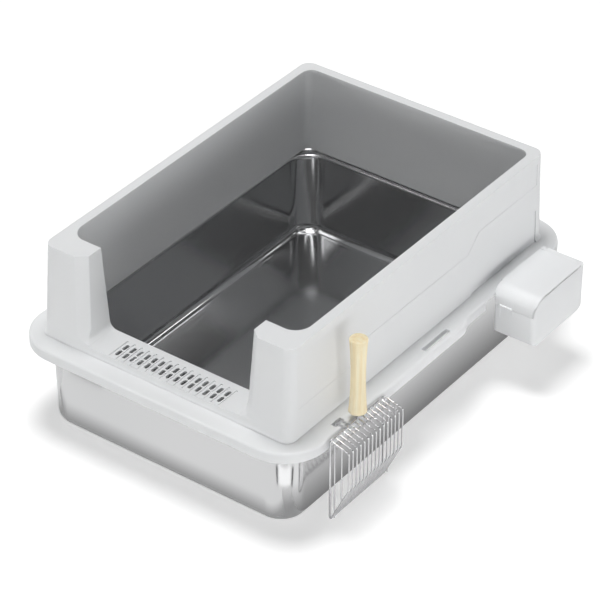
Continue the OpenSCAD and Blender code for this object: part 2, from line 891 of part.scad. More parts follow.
module scoop_tang() {
  foot_z = scoop_top_z + rim_wire_r - weld;
  color("silver")
    translate([scoop_x, scoop_y, foot_z])
      cylinder(r = tang_r, h = handle_z + tang_l - foot_z);
}

module scoop_rim_wire() {
  color("silver")
    translate([scoop_x, scoop_y, 0])
      wire([
        [0, 0, scoop_top_z],
        [0, rim_half_w, scoop_top_z],
        [0, rim_half_w, scoop_tip_z],
        [0, -rim_half_w, scoop_tip_z],
        [0, -rim_half_w, scoop_top_z],
        [0, 0, scoop_top_z]
      ], rim_wire_d);
}

// Corners of one bent wire of the basket as x and z, from the top rim round to the tip
tine_corners = [
  [tine_start_x, scoop_top_z],
  [front_x, front_top_z],
  [front_x, front_low_z],
  [scoop_x + rim_wire_r, scoop_tip_z + tine_r]
];

// Height of the basket's top and of its sloping front at a distance from the open side
function top_z_at(x) = scoop_top_z - basket_top_drop * x / (front_x - scoop_x);
function tip_z_at(x) = scoop_tip_z + (front_low_z - scoop_tip_z) * x / (front_x - scoop_x);

module scoop_tines() {
  color("silver")
    for (i = [1:tine_count - 2])
      upright_wire(tine_corners, scoop_y - rim_half_w + i * tine_pitch, tine_d);
}

module scoop_end(side) {
  y = scoop_y + side * rim_half_w;
  color("silver")
    union() {
      upright_wire(tine_corners, y, tine_d);
      for (x = [side_wire_x1, side_wire_x2])
        upright_wire([[scoop_x + x, tip_z_at(x)], [scoop_x + x, top_z_at(x)]], y, upright_d);
    }
}

module scoop_left_end() {
  scoop_end(-1);
}

module scoop_right_end() {
  scoop_end(1);
}

module scoop_cross_wire() {
  z = top_z_at(brace_x) - tine_d + weld;
  color("silver")
    wire([[scoop_x + brace_x, scoop_y - rim_half_w, z], [scoop_x + brace_x, scoop_y + rim_half_w, z]], tine_d);
}

module scoop_hook_wire() {
  near_y = prong_mid_y + hook_prong_gap / 2;
  far_y = prong_mid_y - hook_prong_gap / 2;
  start_x = scoop_x + rim_wire_r;
  low_z = rim_z - prong_depth;
  color("silver")
    wire([
      [start_x, near_y, prong_z],
      [prong_x, near_y, prong_z],
      [prong_x, near_y, low_z],
      [prong_x, far_y, low_z],
      [prong_x, far_y, prong_z],
      [start_x, far_y, prong_z]
    ], tine_d, hook_bend_r);
}

steel_pan();
rim_frame();
high_wall();
bin_body();
bin_lid();
bin_lid_pin();
scoop_handle();
scoop_tang();
scoop_rim_wire();
scoop_tines();
scoop_left_end();
scoop_right_end();
scoop_cross_wire();
scoop_hook_wire();
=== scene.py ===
import math
import bpy
from mathutils import Matrix, Vector


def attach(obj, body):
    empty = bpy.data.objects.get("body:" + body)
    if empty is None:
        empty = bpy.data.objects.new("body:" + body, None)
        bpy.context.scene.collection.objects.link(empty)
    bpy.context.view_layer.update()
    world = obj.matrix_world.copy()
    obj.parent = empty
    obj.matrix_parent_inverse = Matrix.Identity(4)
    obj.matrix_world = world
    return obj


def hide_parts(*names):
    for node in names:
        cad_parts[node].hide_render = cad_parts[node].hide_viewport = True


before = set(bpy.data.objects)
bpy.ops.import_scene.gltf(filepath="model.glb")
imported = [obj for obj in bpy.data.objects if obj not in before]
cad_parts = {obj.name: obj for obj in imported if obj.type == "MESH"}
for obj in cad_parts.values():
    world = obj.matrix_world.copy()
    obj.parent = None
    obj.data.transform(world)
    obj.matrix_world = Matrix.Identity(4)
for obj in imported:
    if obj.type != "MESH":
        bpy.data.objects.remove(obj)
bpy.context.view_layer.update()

# Steel litter pan with a plastic rim, a high wall, a waste bin and a wire scoop.
# Lengths in the settings are millimetres, and the mesh is made in metres.
mm = 0.001
samePoint = 1e-5  # metres within which a point counts as the one looked for
nearby = 1.0  # millimetres within which an edge counts as lying on a line
unitCorners = ((0, 0), (1, 0), (0, 1), (1, 1))


def clearSelection():
    if bpy.context.object and bpy.context.object.mode != 'OBJECT':
        bpy.ops.object.mode_set(mode='OBJECT')
    bpy.ops.object.select_all(action='DESELECT')


def pickOnly(piece):
    clearSelection()
    piece.select_set(True)
    bpy.context.view_layer.objects.active = piece


def settle(piece, name):
    # keeps the object at the origin, with its place in the mesh
    piece.name = name
    piece.data.name = name
    bpy.ops.object.transform_apply(location=True, rotation=True, scale=True)
    return piece


def addSheet(name, x, y, z):
    clearSelection()
    middle = ((x[0] + x[1]) / 2 * mm, (y[0] + y[1]) / 2 * mm, z * mm)
    bpy.ops.mesh.primitive_plane_add(size=1, location=middle)
    piece = bpy.context.object
    piece.scale = ((x[1] - x[0]) * mm, (y[1] - y[0]) * mm, 1)
    return settle(piece, name)


def addBlock(name, x, y, z):
    clearSelection()
    middle = [(side[0] + side[1]) / 2 * mm for side in (x, y, z)]
    bpy.ops.mesh.primitive_cube_add(size=1, location=middle)
    piece = bpy.context.object
    piece.scale = [(side[1] - side[0]) * mm for side in (x, y, z)]
    return settle(piece, name)


def addRod(name, radius, start, end, sides=32):
    # round bar between two points
    clearSelection()
    start, end = Vector(start) * mm, Vector(end) * mm
    turned = (end - start).to_track_quat('Z', 'Y').to_euler()
    bpy.ops.mesh.primitive_cylinder_add(
        vertices=sides, radius=radius * mm, depth=(end - start).length,
        location=(start + end) / 2, rotation=turned)
    return settle(bpy.context.object, name)


def anything(*spots):
    return True


def isUpright(a, b):
    return abs(a.z - b.z) > abs(a.x - b.x) + abs(a.y - b.y)


def isAcross(a, b):
    return abs(a.x - b.x) > abs(a.y - b.y) + abs(a.z - b.z)


def pick(piece, kind, test):
    # selects faces, edges or points by their place, and stays in edit mode
    pickOnly(piece)
    bpy.ops.object.mode_set(mode='EDIT')
    bpy.ops.mesh.select_mode(type=kind)
    bpy.ops.mesh.select_all(action='DESELECT')
    bpy.ops.object.mode_set(mode='OBJECT')
    points = piece.data.vertices
    if kind == 'FACE':
        for face in piece.data.polygons:
            face.select = test(face.center / mm, face.normal)
    elif kind == 'EDGE':
        for edge in piece.data.edges:
            a, b = (points[i].co / mm for i in edge.vertices)
            edge.select = test(a, b)
    else:
        for point in points:
            point.select = test(point.co / mm)
    bpy.ops.object.mode_set(mode='EDIT')


def movePoints(piece, test, shift):
    # moves the points that pass the test by a shift in metres
    pick(piece, 'VERT', test)
    bpy.ops.transform.translate(value=shift)
    bpy.ops.object.mode_set(mode='OBJECT')


def extrude(shift):
    # extrudes what is picked by a shift in metres
    bpy.ops.mesh.extrude_region_move(TRANSFORM_OT_translate={"value": shift})


def closeEdit(piece, outward=True, merge=0.02):
    # merges doubles, turns the faces outwards and leaves edit mode
    if bpy.context.object != piece or piece.mode != 'EDIT':
        pickOnly(piece)
        bpy.ops.object.mode_set(mode='EDIT')
    bpy.ops.mesh.select_all(action='SELECT')
    bpy.ops.mesh.remove_doubles(threshold=merge * mm)
    if outward:
        bpy.ops.mesh.normals_make_consistent(inside=False)
    bpy.ops.object.mode_set(mode='OBJECT')
    return piece


def roundCorners(piece, radius, segments=10, test=anything):
    # rounds the corners of a flat sheet, all of them or those that pass the test
    pick(piece, 'VERT', test)
    bpy.ops.mesh.bevel(offset=radius * mm, segments=segments, affect='VERTICES')
    bpy.ops.object.mode_set(mode='OBJECT')


def raiseSheet(piece, height, scale=(1, 1), shift=(0, 0)):
    # extrudes a flat sheet straight up, and resizes its top for a tapered block
    pickOnly(piece)
    bpy.ops.object.mode_set(mode='EDIT')
    bpy.ops.mesh.select_mode(type='FACE')
    bpy.ops.mesh.select_all(action='SELECT')
    extrude((0, 0, height * mm))
    if scale != (1, 1):
        middle = sum([Vector(corner) for corner in piece.bound_box], Vector()) / 8
        bpy.ops.transform.resize(value=(*scale, 1), center_override=tuple(middle))
    if shift != (0, 0):
        bpy.ops.transform.translate(value=(shift[0] * mm, shift[1] * mm, 0))
    return closeEdit(piece)


def addTaper(name, foot, head, radius=0, segments=10):
    # block between two plans, each x0, x1, y0, y1 and its height
    piece = addSheet(name, foot[0:2], foot[2:4], foot[4])
    if radius:
        roundCorners(piece, radius, segments)
    scale = ((head[1] - head[0]) / (foot[1] - foot[0]), (head[3] - head[2]) / (foot[3] - foot[2]))
    shift = ((head[0] + head[1] - foot[0] - foot[1]) / 2, (head[2] + head[3] - foot[2] - foot[3]) / 2)
    return raiseSheet(piece, head[4] - foot[4], scale, shift)


def addQuad(name, corners, z=0.0):
    # sheet through four corners in metres: left front, right front, left back, right back
    piece = addSheet(name, (0, 1000), (0, 1000), z / mm)
    for corner, start in zip(corners, unitCorners):
        spot = Vector((*start, z))
        movePoints(piece, lambda p: (p * mm - spot).length < samePoint, Vector(corner) - spot)
    return piece


def addLoft(name, rings):
    # solid through rings of four corners, in the order of a quad's
    rings = [[Vector(corner) * mm for corner in ring] for ring in rings]
    spots = rings[0]
    piece = addQuad(name, spots, spots[0].z)
    for ring in rings[1:]:
        level = spots[0].z
        lift = Vector((0, 0, ring[0].z - level))
        pick(piece, 'FACE', lambda c, n: abs(c.z * mm - level) < samePoint and abs(n.z) > 0.9)
        extrude(lift)
        for corner, spot in zip(ring, spots):
            start = spot + lift
            movePoints(piece, lambda p: (p * mm - start).length < samePoint, corner - start)
        spots = ring
    return closeEdit(piece)


def addOutline(name, columns, x0, x1):
    # prism along X, from columns of y, lowest z and highest z
    steps = len(columns) - 1
    clearSelection()
    bpy.ops.mesh.primitive_grid_add(
        x_subdivisions=steps, y_subdivisions=1, size=1, rotation=(math.pi / 2, 0, math.pi / 2))
    piece = settle(bpy.context.object, name)
    for i, (y, low, high) in enumerate(columns):
        for z, level in ((low, -0.5), (high, 0.5)):
            spot = Vector((0, i / steps - 0.5, level))
            movePoints(piece, lambda p: (p * mm - spot).length < samePoint, Vector((x0, y, z)) * mm - spot)
    pick(piece, 'FACE', anything)
    extrude(((x1 - x0) * mm, 0, 0))
    return closeEdit(piece)


def combine(piece, other, way='DIFFERENCE'):
    pickOnly(piece)
    change = piece.modifiers.new("combine", 'BOOLEAN')
    change.operation = way
    change.solver = 'EXACT'
    change.object = other
    bpy.ops.object.modifier_apply(modifier=change.name)
    bpy.data.objects.remove(other, do_unlink=True)
    return piece


def copyPiece(piece, name, shift=(0, 0, 0)):
    twin = piece.copy()
    twin.data = piece.data.copy()
    twin.name = twin.data.name = name
    bpy.context.scene.collection.objects.link(twin)
    twin.data.transform(Matrix.Translation(Vector(shift) * mm))
    return twin


def joinPieces(pieces):
    pickOnly(pieces[0])
    for other in pieces[1:]:
        other.select_set(True)
    bpy.ops.object.join()
    return pieces[0]


def softenEdges(piece, width, segments=3, angle=35):
    pickOnly(piece)
    change = piece.modifiers.new("softEdges", 'BEVEL')
    change.width = width * mm
    change.segments = segments
    change.limit_method = 'ANGLE'
    change.angle_limit = math.radians(angle)
    change.miter_outer = 'MITER_ARC'
    bpy.ops.object.modifier_apply(modifier=change.name)
    return piece


def bevelEdges(piece, radius, test, segments=6):
    pick(piece, 'EDGE', test)
    bpy.ops.mesh.bevel(offset=radius * mm, segments=segments, affect='EDGES')
    bpy.ops.object.mode_set(mode='OBJECT')
    return piece


def shadeSoft(piece, angle=32):
    pickOnly(piece)
    bpy.ops.object.shade_smooth_by_angle(angle=math.radians(angle))
    return piece


def dress(piece, finish, body, nodes):
    shadeSoft(piece)
    piece.data.materials.clear()
    piece.data.materials.append(finish)
    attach(piece, body)
    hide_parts(*nodes)
    return piece


# finishes
def setStops(ramp, stops):
    while len(ramp.elements) < len(stops):
        ramp.elements.new(0.5)
    for element, (place, colour) in zip(ramp.elements, stops):
        element.position = place
        element.color = (*colour, 1)


class surfaceLook:
    # one material and its nodes
    def __init__(self, name, colour, roughness, metallic=0.0):
        self.material = bpy.data.materials.new(name)
        self.material.use_nodes = True
        self.tree = self.material.node_tree
        self.shader = self.tree.nodes["Principled BSDF"]
        self.shader.inputs["Base Color"].default_value = (*colour, 1)
        self.shader.inputs["Roughness"].default_value = roughness
        self.shader.inputs["Metallic"].default_value = metallic
        self.place = self.tree.nodes.new("ShaderNodeTexCoord")

    def node(self, kind, **settings):
        made = self.tree.nodes.new(kind)
        for key, value in settings.items():
            setattr(made, key, value)
        return made

    def join(self, start, end):
        self.tree.links.new(start, end)

    def stretched(self, scale):
        mapping = self.node("ShaderNodeMapping")
        mapping.inputs["Scale"].default_value = scale
        self.join(self.place.outputs["Object"], mapping.inputs["Vector"])
        return mapping.outputs["Vector"]

    def noise(self, vector, scale, detail, roughness=0.5):
        made = self.node("ShaderNodeTexNoise")
        made.inputs["Scale"].default_value = scale
        made.inputs["Detail"].default_value = detail
        made.inputs["Roughness"].default_value = roughness
        self.join(vector, made.inputs["Vector"])
        return made.outputs["Fac"]

    def ramp(self, value, stops):
        made = self.node("ShaderNodeValToRGB")
        setStops(made.color_ramp, stops)
        self.join(value, made.inputs["Fac"])
        return made.outputs["Color"]

    def spread(self, value, low, high, start=0, end=1):
        made = self.node("ShaderNodeMapRange")
        made.inputs["From Min"].default_value = start
        made.inputs["From Max"].default_value = end
        made.inputs["To Min"].default_value = low
        made.inputs["To Max"].default_value = high
        self.join(value, made.inputs["Value"])
        return made.outputs["Result"]

    def multiplied(self, base, tint, share=1):
        mix = self.node("ShaderNodeMix", data_type='RGBA', blend_type='MULTIPLY')
        mix.inputs["Factor"].default_value = share
        self.join(base, mix.inputs["A"])
        self.join(tint, mix.inputs["B"])
        return mix.outputs["Result"]

    def colourFrom(self, output):
        self.join(output, self.shader.inputs["Base Color"])

    def roughnessFrom(self, value, low, high):
        self.join(self.spread(value, low, high), self.shader.inputs["Roughness"])

    def bump(self, height, strength, distance):
        made = self.node("ShaderNodeBump")
        made.inputs["Strength"].default_value = strength
        made.inputs["Distance"].default_value = distance * mm
        self.join(height, made.inputs["Height"])
        self.join(made.outputs["Normal"], self.shader.inputs["Normal"])

    def glowing(self, specular):
        self.shader.inputs["Specular IOR Level"].default_value = specular
        self.shader.inputs["Emission Color"].default_value = (1, 1, 1, 1)
        return self.shader.inputs["Emission Strength"]


plastic = {
    "grainScale": 900, "grainDetail": 2.0, "cloudScale": 7, "cloudDetail": 3.0, "toneStops": (0.3, 0.7),
    # the inside turn and stops grade the painted shade on faces that look into the box
    "insideShadeTurn": 0.2, "insideShadeStops": (0.2, 0.8), "smoother": 0.05, "rougher": 0.06, "specular": 0.45,
    "bump": (0.12, 0.05),
}
steel = {
    "colour": (0.61, 0.61, 0.615), "baseRoughness": 0.14, "streak": (220, 9, 220), "streakDetail": 3.0,
    "cloudScale": 3.2, "cloudDetail": 2.0,
    "tones": [(0.3, (0.595, 0.60, 0.605)), (0.72, (0.63, 0.63, 0.635))],
    "roughness": (0.11, 0.17), "bump": (0.02, 0.02),
}
wire = {
    "colour": (0.60, 0.60, 0.61), "streak": (300, 300, 40), "streakDetail": 2.0,
    "tones": [(0.3, (0.55, 0.55, 0.56)), (0.75, (0.65, 0.65, 0.655))],
    "smoother": 0.04, "rougher": 0.1, "bump": (0.05, 0.03),
}
wood = {
    "colour": (0.90, 0.77, 0.50), "baseRoughness": 0.42, "bands": (190, 190, 3.5), "bandDetail": 3.0,
    "bandRoughness": 0.45, "fibres": (1400, 1400, 22), "fibreDetail": 2.0, "fibreShare": 0.6,
    "bandTones": [(0.28, (0.90, 0.73, 0.43)), (0.5, (0.96, 0.83, 0.55)), (0.74, (0.98, 0.90, 0.68))],
    "fibreTones": [(0.3, (0.86, 0.84, 0.80)), (0.7, (1.0, 1.0, 1.0))],
    "roughness": (0.36, 0.52), "bump": (0.18, 0.08),
}


def mouldedPlastic(name, light, dark, roughness, inside=1.0):
    s = plastic
    made = surfaceLook(name, light, roughness)
    grain = made.noise(made.stretched((1, 1, 1)), s["grainScale"], s["grainDetail"])
    cloud = made.noise(made.stretched((1, 1, 1)), s["cloudScale"], s["cloudDetail"])
    tone = made.ramp(cloud, list(zip(s["toneStops"], (dark, light))))
    if inside < 1:
        # painted shade: greyer on the faces that look into the box, in place of the shade that falls inside it
        facing = made.node("ShaderNodeVectorMath", operation='DOT_PRODUCT')
        made.join(made.node("ShaderNodeNewGeometry").outputs["Normal"], facing.inputs[0])
        made.join(made.stretched((1, 1, 0)), facing.inputs[1])
        inward = made.spread(facing.outputs["Value"], 0, 1, -s["insideShadeTurn"], 0)
        shade = made.ramp(inward, list(zip(s["insideShadeStops"], ((inside,) * 3, (1, 1, 1)))))
        tone = made.multiplied(tone, shade)
    made.colourFrom(tone)
    made.roughnessFrom(grain, roughness - s["smoother"], roughness + s["rougher"])
    made.shader.inputs["Specular IOR Level"].default_value = s["specular"]
    made.bump(grain, *s["bump"])
    return made.material


def drawnSteel(name):
    s = steel
    made = surfaceLook(name, s["colour"], s["baseRoughness"], 1.0)
    streak = made.noise(made.stretched(s["streak"]), 1.0, s["streakDetail"])
    cloud = made.noise(made.stretched((1, 1, 1)), s["cloudScale"], s["cloudDetail"])
    made.colourFrom(made.ramp(cloud, s["tones"]))
    made.roughnessFrom(streak, *s["roughness"])
    made.bump(streak, *s["bump"])
    return made.material


def polishedWire(name, roughness):
    s = wire
    made = surfaceLook(name, s["colour"], roughness, 1.0)
    streak = made.noise(made.stretched(s["streak"]), 1.0, s["streakDetail"])
    made.roughnessFrom(streak, roughness - s["smoother"], roughness + s["rougher"])
    made.colourFrom(made.ramp(streak, s["tones"]))
    made.bump(streak, *s["bump"])
    return made.material


def paleWood(name):
    s = wood
    made = surfaceLook(name, s["colour"], s["baseRoughness"])
    bands = made.noise(made.stretched(s["bands"]), 1.0, s["bandDetail"], s["bandRoughness"])
    fibres = made.noise(made.stretched(s["fibres"]), 1.0, s["fibreDetail"])
    base = made.ramp(bands, s["bandTones"])
    tint = made.ramp(fibres, s["fibreTones"])
    made.colourFrom(made.multiplied(base, tint, s["fibreShare"]))
    made.roughnessFrom(fibres, *s["roughness"])
    made.bump(fibres, *s["bump"])
    return made.material


rimPlastic = mouldedPlastic("rimPlastic", (0.825, 0.835, 0.84), (0.80, 0.81, 0.82), 0.42)
# the wall's faces that look into the box get painted shade, greyer than the outside
wallPlastic = mouldedPlastic("wallPlastic", (0.80, 0.81, 0.815), (0.78, 0.79, 0.80), 0.45, inside=0.78)
binPlastic = mouldedPlastic("binPlastic", (0.83, 0.84, 0.85), (0.81, 0.82, 0.83), 0.46)
panSteel = drawnSteel("panSteel")
wireSteel = polishedWire("wireSteel", 0.2)
pinSteel = polishedWire("pinSteel", 0.24)
handleWood = paleWood("handleWood")
print("finishes ready")

# steel pan
pan = {
    "rimX": 213.9, "rimY": 301.9, "rimZ": 131, "rimWidth": 10, "corner": 51.9, "cornerSteps": 20,
    "bead": 2.8, "beadFlat": 0.8, "beadSteps": 6, "lean": 2.4, "floorRadius": 14, "floorSteps": 8,
    "hem": 4, "sheet": 1, "softEdge": 0.45,
}


def insetArc(radius, steps, outer):
    # takes the picked face down and in along a quarter round, outer for a round that bulges out
    for i in range(steps):
        a, b = (math.pi / 2 * k / steps for k in (i, i + 1))
        flat, steep = radius * (math.cos(a) - math.cos(b)), radius * (math.sin(b) - math.sin(a))
        inward, down = (steep, flat) if outer else (flat, steep)
        bpy.ops.mesh.inset(thickness=inward * mm, depth=-down * mm)


def makePan(s):
    bead = s["bead"]
    piece = addSheet("steelPan", (-s["rimX"], s["rimX"]), (-s["rimY"], s["rimY"]), s["rimZ"])
    roundCorners(piece, s["corner"], s["cornerSteps"])
    pick(piece, 'FACE', anything)
    bpy.ops.mesh.inset(thickness=s["rimWidth"] * mm, depth=0)
    # pressed bead under the rim, then the side, then the round edge of the floor
    insetArc(bead, s["beadSteps"], True)
    extrude((0, 0, -s["beadFlat"] * mm))
    extrude((0, 0, -bead * mm))
    halves = [side - s["rimWidth"] - bead for side in (s["rimX"], s["rimY"])]
    wider = [(half + bead) / half for half in halves]
    bpy.ops.transform.resize(value=(*wider, 1), center_override=(0, 0, 0))
    low = s["rimZ"] - 2 * bead - s["beadFlat"]
    bpy.ops.mesh.inset(thickness=s["lean"] * mm, depth=-(low - s["floorRadius"]) * mm)
    insetArc(s["floorRadius"], s["floorSteps"], False)
    # the rim's edge turns down
    bpy.ops.mesh.select_all(action='DESELECT')
    bpy.ops.mesh.select_mode(type='EDGE')
    bpy.ops.mesh.select_non_manifold()
    extrude((0, 0, -s["hem"] * mm))
    bpy.ops.object.mode_set(mode='OBJECT')
    pickOnly(piece)
    change = piece.modifiers.new("sheetMetal", 'SOLIDIFY')
    change.thickness = s["sheet"] * mm
    change.offset = 1
    change.use_even_offset = True
    bpy.ops.object.modifier_apply(modifier=change.name)
    softenEdges(piece, s["softEdge"], 2, 50)
    return dress(piece, panSteel, "pan", ["steel_pan"])


makePan(pan)
print("pan made")

# rim frame
rim = {
    "x": 235.5, "front": -317.95, "back": 331.45, "corner": 63, "cornerSteps": 24,
    "low": 124, "under": 136.5, "top": 139.5, "skirt": 3, "round": 3.4, "softEdge": 1.2,
    "notchX": 228, "notchFront": 60, "notchBack": 262.8, "notchReach": 20, "notchSlant": 16,
    "notchCorner": 8, "notchBackCorner": 3.2, "frontRound": 6, "backRound": 4, "gapFront": 121, "gapIn": 1,
    "opening": (-201.9, 201.9, -286.55, 296.65), "openingCorner": 13,
    "slots": [(224.45, 7.65, 57.3, 8.5), (219.05, 199.5, 57.3, 4.3), (224.45, -212.75, 18.9, 8.5)],
    "slotCorner": 1.2, "panX": 203.9, "panY": 291.9, "panCorner": 41.9, "panCornerSteps": 16,
    "ribs": [(5.95, 132.2), (11.3, 128)], "ribThick": 2.2, "ribSunk": 0.5,
    "past": 5, "notchPast": 8, "slotPast": 10, "ribPast": (2, 3),
}


def makeNotch(s, grow, low, high):
    # block that cuts the step in the frame's edge
    reach = s["notchReach"]
    notch = addSheet("notch", (s["notchX"] - grow, s["x"] + reach),
                     (s["notchFront"] - grow, s["notchBack"] + grow), low)
    middle = (s["notchFront"] + s["notchBack"]) / 2
    # the front side runs in on a slant
    slant, deep = s["notchSlant"], s["x"] - s["notchX"]
    movePoints(notch, lambda p: p.y < middle and p.x < s["x"], (0, slant * mm, 0))
    movePoints(notch, lambda p: p.y < middle and p.x > s["x"], (0, -slant * reach / deep * mm, 0))
    roundCorners(notch, s["notchCorner"] + grow / 2, 8, lambda p: p.y < middle and p.x < s["x"])
    roundCorners(notch, s["notchBackCorner"] + grow, 8, lambda p: p.y > middle and p.x < s["x"])
    return raiseSheet(notch, high - low)


def cutWindows(s, piece):
    # the opening for the wall and the hook slots
    low, high = s["low"] - s["slotPast"], s["top"] + s["slotPast"]
    window = s["opening"]
    combine(piece, addTaper("opening", (*window, low), (*window, high), s["openingCorner"]))
    for x, y, length, width in s["slots"]:
        plan = (x - width / 2, x + width / 2, y - length / 2, y + length / 2)
        combine(piece, addTaper("slot", (*plan, low), (*plan, high), s["slotCorner"], 4))
    return piece


def panBlock(s, name, out, low, high):
    # block with the pan's plan, larger all round
    x, y = s["panX"] + out, s["panY"] + out
    return addTaper(name, (-x, x, -y, y, low), (-x, x, -y, y, high), s["panCorner"] + out, s["panCornerSteps"])


def makeRim(s):
    past, skirt, steps = s["past"], s["skirt"], s["cornerSteps"]
    piece = addSheet("rimFrame", (-s["x"], s["x"]), (s["front"], s["back"]), s["low"])
    roundCorners(piece, s["corner"], steps)
    raiseSheet(piece, s["top"] - s["low"])
    combine(piece, makeNotch(s, 0, s["low"] - past, s["top"] + past))
    for y, radius in ((s["notchFront"], s["frontRound"]), (s["notchBack"], s["backRound"])):
        bevelEdges(piece, radius, lambda a, b: isUpright(a, b) and abs(a.x - s["x"]) < nearby
                   and abs(a.y - y) < nearby)
    bevelEdges(piece, s["round"], lambda a, b: min(a.z, b.z) > s["top"] - nearby, 5)
    # hollow underside, which leaves the top and the skirt
    hollow = addSheet("hollow", (-s["x"] + skirt, s["x"] - skirt),
                      (s["front"] + skirt, s["back"] - skirt), s["low"] - past)
    roundCorners(hollow, s["corner"] - skirt, steps)
    raiseSheet(hollow, s["under"] - s["low"] + past)
    combine(hollow, makeNotch(s, skirt, s["low"] - s["notchPast"], s["under"] + s["notchPast"]))
    combine(piece, hollow)
    combine(piece, addBlock("gap", (s["notchX"] - skirt - s["gapIn"], s["x"] + past),
                            (s["gapFront"], s["notchBack"]), (s["low"] - past, s["under"])))
    cutWindows(s, piece)
    closeEdit(piece, False, 0.005)
    softenEdges(piece, s["softEdge"], 3, 50)
    ribs = []
    for out, low in s["ribs"]:
        rib = panBlock(s, "rib", out + s["ribThick"], low, s["under"] + s["ribSunk"])
        combine(rib, panBlock(s, "ribCore", out, low - s["ribPast"][0], s["under"] + s["ribPast"][1]))
        ribs.append(cutWindows(s, rib))
    joinPieces([piece] + ribs)
    closeEdit(piece, False, 0.001)
    return dress(piece, rimPlastic, "frame", ["rim_frame"])


makeRim(rim)
print("rim frame made")

# high wall
wall = {
    "baseZ": 139.7, "topZ": 277.5, "rimZ": 139.5, "height": 138, "x": 203.9, "front": -288.55, "back": 298.65,
    "lean": 3, "frontLean": 9.5, "corner": 15, "thick": 4, "tongueZ": 133.5, "tongueIn": 2.3,
    "tongueUp": 3, "corePast": (2, 6),
    "footLow": (1.8, 0.3), "footHigh": (0.4, 5), "softEdge": 1.6,
    "roomLow": 6, "lipX": 186.7, "lipBack": 281.45, "lipZ": 274.5, "lipFrontCorner": 25, "lipBackCorner": 15,
    "mouthIn": 0.5, "mouthLow": 4, "jambTop": 134, "jambStep": 128.5, "postBackTop": -242.55,
    "postBackStep": -236.25, "postBevel": (15, 13), "bevelPast": 12, "bevelIn": 1,
    "bevelRings": [(151.5, 0.04), (157.5, 0.55), (169.5, 1), (287.5, 1)],
    "stepZ": 149.5, "stepThick": 3, "stepCorner": 11, "entryDeep": 80, "entryUp": 10,
    "pocketIn": 0.7, "pocketFront": 0.4, "pocketDeep": 90, "pocketLow": 9,
    "slotPitch": 12, "slotRows": (-273.75, -259.35), "slotLong": 12.4, "slotWide": 5.4, "slotColumns": 15,
    "slotEase": 0.05, "slotCut": (8, 16), "grooveLong": 39, "grooveWide": 3, "grooveDeep": 1.3, "grooveUp": 4,
    "relief": [(-267.55, 183.5, 265.5), (-162.55, 183.5, 265.5), (-127.55, 208.5, 265.5),
               (111.45, 208.5, 265.5), (137.45, 232.5, 265.5), (277.65, 232.5, 265.5)],
    "binRecess": [(118.5, 139.0, 139.75), (138.5, 139.0, 191.5), (277.65, 139.0, 191.5)],
    "reliefDeep": 0.4, "recessDeep": 1.2, "plateOut": 10, "past": 20,
}


def wallPlan(s, inset, z):
    up = (z - s["rimZ"]) / s["height"]
    x = s["x"] - inset - s["lean"] * up
    return (-x, x, s["front"] + inset + s["frontLean"] * up, s["back"] - inset - s["lean"] * up, z)


def wallSolid(s, name, inset, low, high, radius):
    return addTaper(name, wallPlan(s, inset, low), wallPlan(s, inset, high), radius)


def tongueBlock(s, name, inset, low, high):
    # upright block that follows the wall's foot
    plan = wallPlan(s, inset, s["rimZ"])[:4]
    return addTaper(name, (*plan, low), (*plan, high), s["corner"] - inset)


def atHeight(s, z, top, step):
    # value between the step and the top of the wall
    return step + (top - step) * (z - s["stepZ"]) / (s["topZ"] - s["stepZ"])


def jambAt(s, z):
    return atHeight(s, z, s["jambTop"], s["jambStep"])


def leanPlate(s, name, columns, side, deep):
    # plate with the given outline that cuts into the leaning side
    plate = addOutline(name, columns, side * (s["x"] - deep), side * (s["x"] + s["plateOut"]))
    turned = Matrix.Rotation(-side * math.atan(s["lean"] / s["height"]), 4, 'Y')
    foot = Matrix.Translation((side * s["x"] * mm, 0, s["rimZ"] * mm))
    plate.data.transform(foot @ turned @ foot.inverted())
    return plate


def wallFoot(s):
    # soft foot that flares onto the frame
    (out, low), (inward, high) = s["footLow"], s["footHigh"]
    return addTaper("foot", wallPlan(s, -out, s["baseZ"] + low), wallPlan(s, inward, s["baseZ"] + high),
                    s["corner"])


def wallRoom(s):
    # the room inside, with its mouth, and without the thick front of both posts and the step
    past = s["past"]
    room = wallSolid(s, "room", s["thick"], s["tongueZ"] - s["roomLow"], s["lipZ"], s["corner"] - s["thick"])
    mouth = addSheet("mouth", (-s["lipX"], s["lipX"]), (s["postBackTop"] - s["mouthIn"], s["lipBack"]),
                     s["lipZ"] - s["mouthLow"])
    roundCorners(mouth, s["lipFrontCorner"], 10, lambda p: p.y < 0)
    roundCorners(mouth, s["lipBackCorner"], 8, lambda p: p.y > 0)
    raiseSheet(mouth, past)
    combine(room, mouth, 'UNION')
    x = s["x"] + past
    plans = [(-x, x, s["front"] - past, atHeight(s, z, s["postBackTop"], s["postBackStep"]), z)
             for z in (s["tongueZ"] - past, s["topZ"] + past)]
    return combine(room, addTaper("thickFront", *plans))


def entryBlock(s):
    # entry between the posts, with round corners on the step
    sides = (s["front"] - s["past"], s["front"] + s["entryDeep"])
    high = s["topZ"] + s["entryUp"]
    entry = addTaper("entry", (-s["jambStep"], s["jambStep"], *sides, s["stepZ"]),
                     (-jambAt(s, high), jambAt(s, high), *sides, high))
    return bevelEdges(entry, s["stepCorner"], lambda a, b: max(a.z, b.z) < s["stepZ"] + nearby
                      and abs(a.x - b.x) < nearby, 8)


def entryBevels(s):
    # bevels both posts beside the entry, and fades out above the step
    rings = []
    past, inward = s["bevelPast"], s["bevelIn"]
    for z, share in s["bevelRings"]:
        wide, deep = (size * share for size in s["postBevel"])
        front, x = wallPlan(s, 0, z)[2], jambAt(s, z) - inward
        out = x + wide * (deep + past) / deep + inward
        rings.append([(-out, front - past, z), (out, front - past, z),
                      (-x, front + deep, z), (x, front + deep, z)])
    return addLoft("entryBevels", rings)


